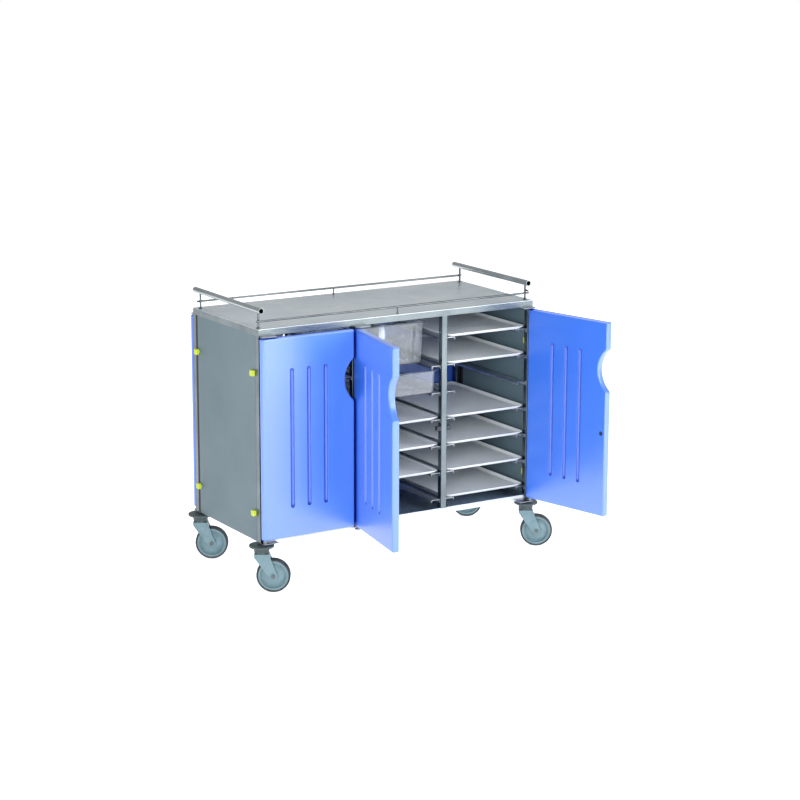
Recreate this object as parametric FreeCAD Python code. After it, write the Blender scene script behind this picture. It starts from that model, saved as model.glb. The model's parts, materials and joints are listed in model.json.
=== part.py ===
import FreeCAD, Part
import math
import os

from FreeCAD import Vector

# Enclosed meal tray cart: three bays side by side, doors on both long sides, four castors.
# X runs along the front from left to right, Y from front to rear, Z up from the floor.
# All sizes are in millimetres.

# Meal trays, which set the width and the depth of the bays
TRAY_WIDTH = 370.0
TRAY_DEPTH = 530.0
TRAY_HEIGHT = 12.0
TRAY_WALL = 2.5
TRAY_FLARE = 11.0
TRAY_CORNER = 24.0
TRAY_SIDE_GAP = 4.5         # tray to the upright, on each side
TRAY_END_GAP = 5.0          # tray to the front and rear of the frame

# Welded frame
TOP_HEIGHT = 1013.0         # floor to the worktop's upper face
POST_WIDTH = 25.0           # square tube
TUBE_WALL = 1.5
TUBE_CORNER = 2.5
RIM_HEIGHT = 23.0           # folded top rim, below the worktop sheet
BASE_RAIL_HEIGHT = 20.0
WORKTOP_SHEET = 2.0
WORKTOP_INSET = 0.5
WORKTOP_EDGE = 0.8
BASE_SHEET = 1.5
SHEET_NOTCH_GAP = 0.5

# End walls
PANEL_THICKNESS = 4.0
SEAL_WIDTH = 16.0
SEAL_INSET = 0.5
CLIP_SIZE = 22.0
CLIP_REACH = 14.0           # how far a clip stands out of the panel, on each side
CLIP_NECK = 8.0
CLIP_ROUNDING = 2.5
CLIP_FRONT_INSET = 36.5     # from the front of the body to the front clips
CLIP_REAR_INSET = 42.0      # from the rear of the body to the rear clips
CLIP_NECK_SHIFT = 7.0       # the rear clips' necks sit off centre, inside the panel
CLIP_HOLE_GAP = 0.2

# Tray levels, counted from the top
LEVELS = 7
FLOOR_HEADROOM = 36.0       # from the base rails up to the lowest ledge
TOP_HEADROOM = 89.0         # from the top ledge to the underside of the rim
LEDGE_WIDTH = 40.0
LEDGE_LIP = 10.0
RUNNER_WEB = 14.0
RUNNER_SHEET = 1.5
RUNNER_END_INSET = 8.0

# Doors
DOOR_THICKNESS = 28.0
DOOR_BACK_GAP = 1.0         # closed door to the front of the frame
DOOR_BOTTOM_DROP = 8.0      # the door laps over the base rail
DOOR_TOP_GAP = 7.0
DOOR_END_INSET = 14.0       # body end to the pivot of an end door
MIDDLE_PIVOT_SHIFT = 2.0    # upright's centre to the pivot of a middle door
DOOR_EDGE_ROUNDING = 6.0
FREE_EDGE_GAP = 3.0         # between the meeting edges of the middle and end doors
HINGE_EDGE_GAP = 7.0        # between an end door's free edge and the middle door's hinge edge
GRIP_CHORD = 165.0
GRIP_DEPTH = 42.0
GRIP_DROP = 191.0           # top of the door to the middle of the hand cut-out
GRIP_BLEND = 15.0
GROOVE_COUNT = 3
GROOVE_PITCH = 72.0
GROOVE_WIDTH = 17.0
GROOVE_DEPTH = 8.0
GROOVE_ROUNDING = 0.8
GROOVE_TOP_MARGIN = 120.0
GROOVE_BOTTOM_MARGIN = 115.0
MIDDLE_DOOR_OPEN = 100.0    # degrees that the door stands open at rest
RIGHT_DOOR_OPEN = 103.0

# Door pivots and magnetic catches
PIN_RADIUS = 4.0
PIN_LENGTH = 18.0
PIN_CLEARANCE = 0.05
PIN_END_GAP = 2.0
PIVOT_PLATE = 3.0
PIVOT_PLATE_REACH = 40.0
PIVOT_PLATE_TAB = 22.0
PIVOT_ROUND_MARGIN = 1.0
BOSS_RADIUS = 8.0
BOSS_GAP = 0.3
STRIKE_RADIUS = 8.0
STRIKE_THICKNESS = 3.0
STRIKE_PROUD = 0.5
STRIKE_POCKET_GAP = 0.1
STRIKE_INSET = 21.0
CATCH_DROP = 441.0          # top of the door to the middle of the catch
CATCH_HEIGHT = 16.0
CATCH_DEPTH = 16.0
CATCH_MARGIN = 10.0
CATCH_ROUNDING = 2.0

# Handles and gallery on the worktop
HANDLE_RADIUS = 11.0
HANDLE_WALL = 1.5
HANDLE_OVERHANG = 2.0       # longer than the body is deep, by this at each end
HANDLE_SHIFT = 10.0         # the handles stand out further at the rear
HANDLE_RISE = 67.0          # worktop to the handle's centre line
GALLERY_END_INSET = 18.5    # body end to the posts and handles
GALLERY_SIDE_INSET = 32.0   # front and rear of the body to the posts
GALLERY_POST_RADIUS = 4.0
MIDDLE_POST_RADIUS = 2.5
POST_FOOT_RADIUS = 8.0
MIDDLE_FOOT_RADIUS = 5.0
POST_FOOT_HEIGHT = 2.0
RAIL_RADIUS = 4.0
RAIL_RISE = 26.0            # worktop to the rail's centre line
RAIL_OVERSHOOT = 12.0
WELD_GAP = 0.1
PEG_RADIUS = 3.5
PEG_LENGTH = 21.0
PEG_ABOVE_RAIL = 11.0

# Castors
WHEEL_RADIUS = 65.0
TREAD_WIDTH = 32.0
TREAD_ROUNDING = 5.0
TYRE_THICKNESS = 7.0
RIM_RING = 8.0
RIM_RING_WIDTH = 27.0
WEB_THICKNESS = 9.0          # at the bottom of the dished web
DISH_TOP = 26.0              # at the boss
DISH_RADIUS = 24.0
HUB_RADIUS = 15.0
HUB_SIDE_GAP = 1.0
AXLE_RADIUS = 5.0
AXLE_CLEARANCE = 0.05
AXLE_HEAD_RADIUS = 8.0
AXLE_HEAD_LENGTH = 3.5
AXLE_SEAT_GAP = 0.1
CASTOR_TRAIL = 44.0
TRAIL_ANGLE = -31.6         # degrees; the way in which all four castors trail at rest
WHEEL_TOP_GAP = 9.0         # wheel to the underside of the fork's crown
FORK_CROWN_RADIUS = 28.0
FORK_CROWN_HEIGHT = 12.0
FORK_END_RADIUS = 17.0
FORK_LEG = 6.0
FORK_SIDE_GAP = 3.0
FORK_WHEEL_GAP = 5.0
FORK_ROUNDING = 2.0
COLLAR_HEIGHT = 24.0        # fork to bumper
BUMPER_RADIUS = 48.5
BUMPER_THICKNESS = 10.0
BUMPER_ROUNDING = 4.5
COLLAR_TOP_RADIUS = 31.0
COLLAR_RADIUS = 27.5
SWIVEL_GAP = 0.3
STEM_RADIUS = 6.0
STEM_CLEARANCE = 0.05
STEM_DEPTH = 24.0           # how far the stem reaches into the fork's crown
STEM_END_GAP = 0.5
STEM_PLUG_LENGTH = 60.0
STEM_PLUG_GAP = 0.2
STEM_PLUG_CHAMFER = 2.0
POST_FOOT = 10.0            # the corner uprights reach this far below the base rails

# Bins, and the levels that are in use
LOAD_GAP = 0.3              # tray or bin above its ledges
BIN_WALL = 2.5
BIN_LIP = 9.0
BIN_FLARE = 5.0
BIN_CORNER = 22.0
BIN_BELOW_LIP_GAP = 8.0     # a bin's rim below the runner above it
DEEP_BIN_HEADROOM = 32.0
DEEP_BIN_SIDE_INSET = 10.0  # narrower than a tray by this on each side
DEEP_BIN_FRONT_INSET = 80.0
DEEP_BIN_REAR_INSET = 60.0
MIDDLE_BIN_LEVELS = (2, 3)  # the deep bin, then the shallow one
MIDDLE_TRAY_LEVELS = (4, 5, 6)
RIGHT_TRAY_LEVELS = (1, 2, 4, 5, 6, 7)

# Sizes and places worked out from the ones above
BAY_PITCH = TRAY_WIDTH + 2 * TRAY_SIDE_GAP + POST_WIDTH
BODY_DEPTH = TRAY_DEPTH + 2 * TRAY_END_GAP
HALF_POST = POST_WIDTH / 2
HALF_DEPTH = BODY_DEPTH / 2
BAY_NAMES = ("left", "middle", "right")
BAY_CENTRES = [BAY_PITCH * (n - (len(BAY_NAMES) - 1) / 2) for n in range(len(BAY_NAMES))]
POST_LINES = [BAY_PITCH * (n - len(BAY_NAMES) / 2) for n in range(len(BAY_NAMES) + 1)]
HALF_LENGTH = POST_LINES[-1] + HALF_POST
POST_ROW = HALF_DEPTH - HALF_POST
RIM_TOP = TOP_HEIGHT - WORKTOP_SHEET
RIM_UNDERSIDE = RIM_TOP - RIM_HEIGHT
FORK_TOP = 2 * WHEEL_RADIUS + WHEEL_TOP_GAP + FORK_CROWN_HEIGHT
CASTOR_SEAT = FORK_TOP + COLLAR_HEIGHT + BUMPER_THICKNESS
BASE_UNDERSIDE = CASTOR_SEAT + POST_FOOT
BASE_TOP = BASE_UNDERSIDE + BASE_RAIL_HEIGHT
LOWEST_LEDGE = BASE_TOP + FLOOR_HEADROOM
LEVEL_PITCH = (RIM_UNDERSIDE - TOP_HEADROOM - LOWEST_LEDGE) / (LEVELS - 1)
HALF_BAY = BAY_PITCH / 2 - HALF_POST

DOOR_BOTTOM = BASE_TOP - DOOR_BOTTOM_DROP
DOOR_TOP = RIM_UNDERSIDE - DOOR_TOP_GAP
HALF_DOOR = DOOR_THICKNESS / 2
PIVOT_Y = -(HALF_DEPTH + DOOR_BACK_GAP + HALF_DOOR)
END_PIVOT_X = HALF_LENGTH - DOOR_END_INSET
MIDDLE_PIVOT_X = POST_LINES[1] + MIDDLE_PIVOT_SHIFT
LEFT_DOOR_REACH = MIDDLE_PIVOT_X - HALF_DOOR - HINGE_EDGE_GAP + END_PIVOT_X
MEETING_LINE = POST_LINES[2]
MIDDLE_DOOR_REACH = MEETING_LINE - FREE_EDGE_GAP / 2 - MIDDLE_PIVOT_X
RIGHT_DOOR_REACH = END_PIVOT_X - MEETING_LINE - FREE_EDGE_GAP / 2
GRIP_RADIUS = ((GRIP_CHORD / 2) ** 2 + GRIP_DEPTH ** 2) / (2 * GRIP_DEPTH)
GROOVE_RADIUS = ((GROOVE_WIDTH / 2) ** 2 + GROOVE_DEPTH ** 2) / (2 * GROOVE_DEPTH)

GALLERY_X = HALF_LENGTH - GALLERY_END_INSET
GALLERY_Y = HALF_DEPTH - GALLERY_SIDE_INSET
RAIL_Y = GALLERY_Y + GALLERY_POST_RADIUS + RAIL_RADIUS + WELD_GAP
RAIL_Z = TOP_HEIGHT + RAIL_RISE
HANDLE_Z = TOP_HEIGHT + HANDLE_RISE
FORK_HALF_GAP = TREAD_WIDTH / 2 + FORK_SIDE_GAP
FORK_HALF_WIDTH = FORK_HALF_GAP + FORK_LEG

UP = Vector(0, 0, 1)
TOLERANCE = 1e-6            # two lengths nearer than this are the same


def box(x0, x1, y0, y1, z0, z1):
    """A block between two values on each axis, given in either order."""
    low = Vector(min(x0, x1), min(y0, y1), min(z0, z1))
    return Part.makeBox(abs(x1 - x0), abs(y1 - y0), abs(z1 - z0), low)


def rod(radius, start, end):
    """A round bar between two points."""
    return Part.makeCylinder(radius, (end - start).Length, start, end - start)


def turned(shape, angle, x=0.0, y=0.0):
    """A copy of the shape, turned about the vertical line at x, y."""
    copy = shape.copy()
    copy.rotate(Vector(x, y, 0), UP, angle)
    return copy


def moved(shape, x=0.0, y=0.0, z=0.0):
    """A copy of the shape, moved."""
    copy = shape.copy()
    copy.translate(Vector(x, y, z))
    return copy


def rounded_rectangle(width, depth, radius, z=0.0):
    """A closed outline with round corners, centred on the Z axis."""
    half_x, half_y = width / 2 - radius, depth / 2 - radius
    slant = radius * math.sqrt(0.5)
    edges = []
    for side_x, side_y, turn in ((1, 1, 0), (-1, 1, 1), (-1, -1, 2), (1, -1, 3)):
        x, y = side_x * half_x, side_y * half_y
        along_x = Vector(x + side_x * radius, y, z)
        along_y = Vector(x, y + side_y * radius, z)
        first, last = (along_x, along_y) if turn % 2 == 0 else (along_y, along_x)
        middle = Vector(x + side_x * slant, y + side_y * slant, z)
        if edges:
            edges.append(Part.makeLine(edges[-1].lastVertex().Point, first))
        edges.append(Part.Arc(first, middle, last).toShape())
    edges.append(Part.makeLine(edges[-1].lastVertex().Point, edges[0].firstVertex().Point))
    return Part.Wire(edges)


def square_tube(width, depth, height, wall, corner):
    """An upright hollow tube with rounded corners, standing on the XY plane."""
    outer = Part.Face(rounded_rectangle(width, depth, corner))
    inner_corner = max(corner - wall, wall / 2)
    inner = Part.Face(rounded_rectangle(width - 2 * wall, depth - 2 * wall, inner_corner))
    return outer.cut(inner).extrude(Vector(0, 0, height))


def flat_tube(x0, x1, y0, y1, z0, z1, along_x):
    """A lying rectangular tube, open at both ends."""
    wall = TUBE_WALL
    end = 0 if along_x else wall
    side = wall if along_x else 0
    bore = box(x0 + end, x1 - end, y0 + side, y1 - side, z0 + wall, z1 - wall)
    return box(x0, x1, y0, y1, z0, z1).cut(bore)


def upright_edges(shape):
    """The straight vertical edges of a shape."""
    found = []
    for edge in shape.Edges:
        start, end = edge.Vertexes[0].Point, edge.Vertexes[-1].Point
        if math.hypot(start.x - end.x, start.y - end.y) < TOLERANCE < abs(start.z - end.z):
            found.append(edge)
    return found


def save(name, *solids):
    """Write one named sub-part, made of one or more separate solids."""
    shape = solids[0] if len(solids) == 1 else Part.makeCompound(list(solids))
    shape.exportStep("parts/%s.step" % name)


def ledge_height(level):
    """The upper face of a level's ledges; level 1 is the top one."""
    return LOWEST_LEDGE + (LEVELS - level) * LEVEL_PITCH


# Frame: rim, worktop, uprights, base

def top_rim():
    """A folded channel all round under the worktop, open upwards."""
    outer = box(-HALF_LENGTH, HALF_LENGTH, -HALF_DEPTH, HALF_DEPTH, RIM_UNDERSIDE, RIM_TOP)
    outer = outer.makeFillet(TUBE_CORNER, upright_edges(outer))
    x, y = HALF_LENGTH - POST_WIDTH, HALF_DEPTH - POST_WIDTH
    ring = outer.cut(box(-x, x, -y, y, RIM_UNDERSIDE, RIM_TOP))
    wall = TUBE_WALL
    floor = RIM_UNDERSIDE + wall
    trough = box(wall - HALF_LENGTH, HALF_LENGTH - wall, wall - HALF_DEPTH, HALF_DEPTH - wall, floor, RIM_TOP)
    kept = box(-x - wall, x + wall, -y - wall, y + wall, floor, RIM_TOP)
    return ring.cut(trough.cut(kept))


def worktop():
    """The flat sheet that closes the cart and lies on the rim."""
    x, y = HALF_LENGTH - WORKTOP_INSET, HALF_DEPTH - WORKTOP_INSET
    sheet = box(-x, x, -y, y, RIM_TOP, TOP_HEIGHT)
    sheet = sheet.makeFillet(TUBE_CORNER, upright_edges(sheet))
    upper = [edge for edge in sheet.Edges if edge.BoundBox.ZMin > TOP_HEIGHT - TOLERANCE]
    return sheet.makeFillet(WORKTOP_EDGE, upper)


def uprights(lines, bottom):
    """Front and rear uprights on each of the given lines."""
    post = square_tube(POST_WIDTH, POST_WIDTH, RIM_UNDERSIDE - bottom, TUBE_WALL, TUBE_CORNER)
    return [moved(post, x, y, bottom) for x in lines for y in (-POST_ROW, POST_ROW)]


def base_frame():
    """Long rails, end rails and cross rails, butted together."""
    low, high = BASE_UNDERSIDE, BASE_TOP
    inner_x, inner_y = HALF_LENGTH - POST_WIDTH, HALF_DEPTH - POST_WIDTH
    rails = []
    for side in (-1, 1):
        front = sorted((side * HALF_DEPTH, side * inner_y))
        rails.append(flat_tube(-inner_x, inner_x, *front, low, high, True))
        outer_x = HALF_LENGTH - PANEL_THICKNESS
        end = sorted((side * outer_x, side * (outer_x - BASE_RAIL_HEIGHT)))
        rails.append(flat_tube(*end, -inner_y, inner_y, low, high, False))
    for x in POST_LINES[1:-1]:
        rails.append(flat_tube(x - HALF_POST, x + HALF_POST, -inner_y, inner_y, low, high, False))
    return rails


def base_panel():
    """The floor sheet of the bays, notched round the uprights."""
    x, y = HALF_LENGTH - PANEL_THICKNESS - SHEET_NOTCH_GAP, HALF_DEPTH - SHEET_NOTCH_GAP
    sheet = box(-x, x, -y, y, BASE_TOP, BASE_TOP + BASE_SHEET)
    reach = HALF_POST + SHEET_NOTCH_GAP
    for post_x in POST_LINES:
        for post_y in (-POST_ROW, POST_ROW):
            notch = box(post_x - reach, post_x + reach, post_y - reach, post_y + reach,
                        BASE_TOP, BASE_TOP + BASE_SHEET)
            sheet = sheet.cut(notch)
    return sheet


# End walls: panel, seal, clips

PANEL_FRONT = -(HALF_DEPTH - POST_WIDTH)
PANEL_REAR = HALF_DEPTH - POST_WIDTH - SEAL_WIDTH
CLIP_HEIGHTS = [(ledge_height(level) + ledge_height(level + 1)) / 2 for level in (1, LEVELS - 1)]
FRONT_CLIP = -HALF_DEPTH + CLIP_FRONT_INSET
REAR_CLIP = HALF_DEPTH - CLIP_REAR_INSET


def clip_places():
    """Middle of each clip and of its neck along the depth, and its height."""
    for z in CLIP_HEIGHTS:
        yield FRONT_CLIP, FRONT_CLIP, z
        yield REAR_CLIP, REAR_CLIP - CLIP_NECK_SHIFT, z


def side_panel(side):
    """One end wall, set between the corner uprights, with the clips' holes."""
    outer = side * HALF_LENGTH
    inner = outer - side * PANEL_THICKNESS
    panel = box(outer, inner, PANEL_FRONT, PANEL_REAR, BASE_UNDERSIDE, RIM_UNDERSIDE)
    half = CLIP_NECK / 2 + CLIP_HOLE_GAP
    for _, y, z in clip_places():
        panel = panel.cut(box(outer, inner, y - half, y + half, z - half, z + half))
    return panel


def side_seal(side):
    """The rubber strip between the panel and the rear upright."""
    outer = side * (HALF_LENGTH - SEAL_INSET)
    return box(outer, side * (HALF_LENGTH - PANEL_THICKNESS), PANEL_REAR, PANEL_REAR + SEAL_WIDTH,
               BASE_UNDERSIDE, RIM_UNDERSIDE)


def panel_clips(side):
    """Snap-in clips: a block outside, a neck through the panel and a block inside."""
    outer = side * HALF_LENGTH
    inner = outer - side * PANEL_THICKNESS
    half, neck = CLIP_SIZE / 2, CLIP_NECK / 2
    clips = []
    for y, neck_y, z in clip_places():
        head = box(outer, outer + side * CLIP_REACH, y - half, y + half, z - half, z + half)
        head = head.makeFillet(CLIP_ROUNDING, head.Edges)
        lock = box(inner, inner - side * CLIP_REACH, neck_y - neck, neck_y + neck, z - half, z + half)
        shank = box(outer + side * CLIP_REACH / 2, inner - side * CLIP_REACH / 2,
                    neck_y - neck, neck_y + neck, z - neck, z + neck)
        clips.append(head.fuse([shank, lock]).removeSplitter())
    return clips


# Tray runners

def runner(bay_centre, side, level):
    """A folded ledge along one side of a bay, with a web at the uprights and a lip inside."""
    outer = bay_centre + side * HALF_BAY
    inner = outer - side * LEDGE_WIDTH
    top = ledge_height(level)
    y = HALF_DEPTH - RUNNER_END_INSET
    section = [
        (outer, top), (inner, top), (inner, top - LEDGE_LIP),
        (inner + side * RUNNER_SHEET, top - LEDGE_LIP), (inner + side * RUNNER_SHEET, top - RUNNER_SHEET),
        (outer - side * RUNNER_SHEET, top - RUNNER_SHEET), (outer - side * RUNNER_SHEET, top - RUNNER_WEB),
        (outer, top - RUNNER_WEB), (outer, top),
    ]
    outline = Part.makePolygon([Vector(x, -y, z) for x, z in section])
    return Part.Face(outline).extrude(Vector(0, 2 * y, 0))


def bay_runners(bay_centre, levels):
    """All the runners of one bay."""
    return [runner(bay_centre, side, level) for level in levels for side in (-1, 1)]


# Doors. Each is drawn closed, with its pivot on the Z axis and its free edge towards +X.

def door_leaf(reach):
    """A moulded leaf: round hinge edge, hand cut-out, and grooves on both faces."""
    height = DOOR_TOP - DOOR_BOTTOM
    half = HALF_DOOR
    corners = [Vector(0, -half, 0), Vector(reach, -half, 0), Vector(reach, half, 0), Vector(0, half, 0)]
    edges = [Part.makeLine(a, b) for a, b in zip(corners, corners[1:])]
    edges.append(Part.Arc(corners[3], Vector(-half, 0, 0), corners[0]).toShape())
    leaf = Part.Face(Part.Wire(edges)).extrude(Vector(0, 0, height))
    grip_z = height - GRIP_DROP
    grip_x = reach + GRIP_RADIUS - GRIP_DEPTH
    leaf = leaf.cut(rod(GRIP_RADIUS, Vector(grip_x, -half, grip_z), Vector(grip_x, half, grip_z)))
    across = [e for e in leaf.Edges if is_across(e) and 0 < e.BoundBox.ZMin < height]
    leaf = leaf.makeFillet(GRIP_BLEND, [e for e in across if 0 < e.Vertexes[0].Z < height])
    leaf = leaf.makeFillet(DOOR_EDGE_ROUNDING, [e for e in leaf.Edges if is_sharp(e, height)])
    leaf = leaf.cut(Part.makeCompound(door_grooves(reach, height) + pin_bores(height)))
    return leaf.makeFillet(GROOVE_ROUNDING, [e for e in leaf.Edges if is_groove_lip(e, reach)])


def is_across(edge):
    """True for a straight edge that runs through the leaf's thickness."""
    size = edge.BoundBox
    return size.YLength > DOOR_THICKNESS - TOLERANCE and max(size.XLength, size.ZLength) < TOLERANCE


def is_sharp(edge, height):
    """True for the edges of the leaf that are rounded off, not for the smooth seams."""
    size = edge.BoundBox
    at_end = size.ZMax < TOLERANCE or size.ZMin > height - TOLERANCE
    seam = size.ZLength > height - TOLERANCE and size.XMax < TOLERANCE
    return at_end or not (seam or is_across(edge))


def is_groove_lip(edge, reach):
    """True for the outline of a groove on either face of the leaf."""
    size = edge.BoundBox
    on_face = size.YLength < TOLERANCE and abs(abs(size.Center.y) - HALF_DOOR) < TOLERANCE
    middle, spread = (reach - HALF_DOOR) / 2, (GROOVE_COUNT - 1) / 2 * GROOVE_PITCH + GROOVE_WIDTH
    return on_face and abs(size.Center.x - middle) < spread and size.XLength < GROOVE_WIDTH + TOLERANCE


def door_grooves(reach, height):
    """Round-bottomed upright grooves with round ends, cut into both faces."""
    low = GROOVE_BOTTOM_MARGIN + GROOVE_WIDTH / 2
    high = height - GROOVE_TOP_MARGIN - GROOVE_WIDTH / 2
    middle = (reach - HALF_DOOR) / 2
    cutters = []
    for n in range(GROOVE_COUNT):
        x = middle + (n - (GROOVE_COUNT - 1) / 2) * GROOVE_PITCH
        for side in (-1, 1):
            y = side * (HALF_DOOR - GROOVE_DEPTH + GROOVE_RADIUS)
            ends = [Vector(x, y, z) for z in (low, high)]
            balls = [Part.makeSphere(GROOVE_RADIUS, end) for end in ends]
            cutters.append(rod(GROOVE_RADIUS, *ends).fuse(balls))
    return cutters


def pin_bores(height):
    """Bores for the pivot pins, at the top and bottom of the leaf."""
    radius, depth = PIN_RADIUS + PIN_CLEARANCE, PIN_LENGTH + PIN_END_GAP
    return [Part.makeCylinder(radius, depth, Vector(0, 0, z)) for z in (0, height - depth)]


def strike_at(reach, radius, thickness):
    """A disc sunk from the leaf's inner face, near its free edge."""
    start = Vector(reach - STRIKE_INSET, HALF_DOOR - STRIKE_THICKNESS, DOOR_TOP - DOOR_BOTTOM - CATCH_DROP)
    return rod(radius, start, start + Vector(0, thickness, 0))


def door(name, pivot_x, reach, mirrored, rear, opened):
    """Write a door and its strike in the place where they rest."""
    leaf = door_leaf(reach)
    leaf = leaf.cut(strike_at(reach, STRIKE_RADIUS + STRIKE_POCKET_GAP, STRIKE_THICKNESS))
    strike = strike_at(reach, STRIKE_RADIUS, STRIKE_THICKNESS + STRIKE_PROUD)
    for suffix, shape in (("door", leaf), ("strike", strike)):
        if mirrored:
            shape = shape.mirror(Vector(0, 0, 0), Vector(1, 0, 0))
        shape = turned(shape, opened if mirrored else -opened)
        shape = moved(shape, pivot_x, PIVOT_Y, DOOR_BOTTOM)
        save("%s_%s" % (name, suffix), turned(shape, 180) if rear else shape)


# Door pivots and catches, drawn for the front; the rear has the same, turned half round

def pivot_plates(pivot_x, post_line, side):
    """Upper and lower plate of a door, each with its pin; side points into the bay."""
    face = post_line + side * HALF_POST
    end = face + side * PIVOT_PLATE_REACH
    front, back = PIVOT_Y - HALF_DOOR + PIVOT_ROUND_MARGIN, -HALF_DEPTH
    plates = []
    for z in (RIM_UNDERSIDE - PIVOT_PLATE, BASE_UNDERSIDE - PIVOT_PLATE):
        nose = Part.makeCylinder(HALF_DOOR - PIVOT_ROUND_MARGIN, PIVOT_PLATE, Vector(pivot_x, PIVOT_Y, z))
        strip = box(pivot_x, end, front, back, z, z + PIVOT_PLATE)
        tab = box(face + side * SHEET_NOTCH_GAP, end, back, back + PIVOT_PLATE_TAB, z, z + PIVOT_PLATE)
        plates.append(nose.fuse([strip, tab]))
    upper = rod(PIN_RADIUS, Vector(pivot_x, PIVOT_Y, RIM_UNDERSIDE - PIVOT_PLATE),
                Vector(pivot_x, PIVOT_Y, DOOR_TOP - PIN_LENGTH))
    lower = rod(PIN_RADIUS, Vector(pivot_x, PIVOT_Y, BASE_UNDERSIDE),
                Vector(pivot_x, PIVOT_Y, DOOR_BOTTOM + PIN_LENGTH))
    boss = rod(BOSS_RADIUS, Vector(pivot_x, PIVOT_Y, BASE_UNDERSIDE),
               Vector(pivot_x, PIVOT_Y, DOOR_BOTTOM - BOSS_GAP))
    return [plates[0].fuse(upper).removeSplitter(), plates[1].fuse([boss, lower]).removeSplitter()]


def catch(post_line, side, strike_x):
    """A magnetic catch on the side of an upright, facing a closed door's strike."""
    face = post_line + side * HALF_POST
    z = DOOR_TOP - CATCH_DROP
    block = box(face, strike_x + side * CATCH_MARGIN, -HALF_DEPTH, -HALF_DEPTH + CATCH_DEPTH,
                z - CATCH_HEIGHT / 2, z + CATCH_HEIGHT / 2)
    rounded = [e for e in block.Edges if abs(e.BoundBox.Center.x - face) > TOLERANCE
               and e.BoundBox.YLength > CATCH_DEPTH - TOLERANCE]
    return block.makeFillet(CATCH_ROUNDING, rounded)


def front_pivots():
    """The pivot plates of the three front doors."""
    return (pivot_plates(-END_PIVOT_X, POST_LINES[0], 1) + pivot_plates(MIDDLE_PIVOT_X, POST_LINES[1], 1)
            + pivot_plates(END_PIVOT_X, POST_LINES[3], -1))


def front_catches():
    """The catches of the three front doors."""
    return [
        catch(POST_LINES[1], -1, -END_PIVOT_X + LEFT_DOOR_REACH - STRIKE_INSET),
        catch(POST_LINES[2], -1, MIDDLE_PIVOT_X + MIDDLE_DOOR_REACH - STRIKE_INSET),
        catch(POST_LINES[2], 1, END_PIVOT_X - RIGHT_DOOR_REACH + STRIKE_INSET),
    ]


# Handles and gallery

def handle(side):
    """A push handle along one end: a tube that is open at both ends."""
    x = side * GALLERY_X
    reach = HALF_DEPTH + HANDLE_OVERHANG
    ends = [Vector(x, HANDLE_SHIFT + way * reach, HANDLE_Z) for way in (-1, 1)]
    return rod(HANDLE_RADIUS, *ends).cut(rod(HANDLE_RADIUS - HANDLE_WALL, *ends))


def gallery_rails():
    """A thin round rail along the front and one along the rear."""
    x = GALLERY_X + RAIL_OVERSHOOT
    return [rod(RAIL_RADIUS, Vector(-x, y, RAIL_Z), Vector(x, y, RAIL_Z)) for y in (-RAIL_Y, RAIL_Y)]


def gallery_posts():
    """Four posts under the handles, two short ones under the rails, each on a round foot."""
    handles = [rod(HANDLE_RADIUS, Vector(x, -BODY_DEPTH, HANDLE_Z), Vector(x, BODY_DEPTH, HANDLE_Z))
               for x in (-GALLERY_X, GALLERY_X)]
    posts = []
    for x in (-GALLERY_X, GALLERY_X):
        for y in (-GALLERY_Y, GALLERY_Y):
            foot = Part.makeCylinder(POST_FOOT_RADIUS, POST_FOOT_HEIGHT, Vector(x, y, TOP_HEIGHT))
            post = rod(GALLERY_POST_RADIUS, Vector(x, y, TOP_HEIGHT), Vector(x, y, HANDLE_Z)).fuse(foot)
            if x > 0 > y:
                peg_z = RAIL_Z + PEG_ABOVE_RAIL
                post = post.fuse(rod(PEG_RADIUS, Vector(x, y, peg_z), Vector(x, y - PEG_LENGTH, peg_z)))
            posts.append(post.cut(handles))
    for y, rail in zip((-RAIL_Y, RAIL_Y), gallery_rails()):
        foot = Part.makeCylinder(MIDDLE_FOOT_RADIUS, POST_FOOT_HEIGHT, Vector(0, y, TOP_HEIGHT))
        post = rod(MIDDLE_POST_RADIUS, Vector(0, y, TOP_HEIGHT), Vector(0, y, RAIL_Z)).fuse(foot)
        posts.append(post.cut(rail))
    return posts


# Castors, drawn with the swivel axis on the Z axis and the wheel trailing towards +X

AXLE = Vector(CASTOR_TRAIL, 0, WHEEL_RADIUS)
CASTORS = {
    "front_left": (POST_LINES[0], -POST_ROW),
    "front_right": (POST_LINES[-1], -POST_ROW),
    "rear_left": (POST_LINES[0], POST_ROW),
    "rear_right": (POST_LINES[-1], POST_ROW),
}


def revolved(profile, centre, axis):
    """A solid turned from points given as radius and place along the axis."""
    across = Vector(1, 0, 0)
    points = [centre + across * radius + axis * along for radius, along in profile]
    return Part.Face(Part.makePolygon(points + points[:1])).revolve(centre, axis, 360)


def bumper():
    """A round rubber bumper, held on the stem between the upright's foot and the collar."""
    disc = Part.makeCylinder(BUMPER_RADIUS, BUMPER_THICKNESS, Vector(0, 0, CASTOR_SEAT - BUMPER_THICKNESS))
    disc = disc.makeFillet(BUMPER_ROUNDING, [e for e in disc.Edges if len(e.Vertexes) == 1])
    return disc.cut(Part.makeCylinder(STEM_RADIUS + STEM_CLEARANCE, CASTOR_SEAT))


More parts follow.
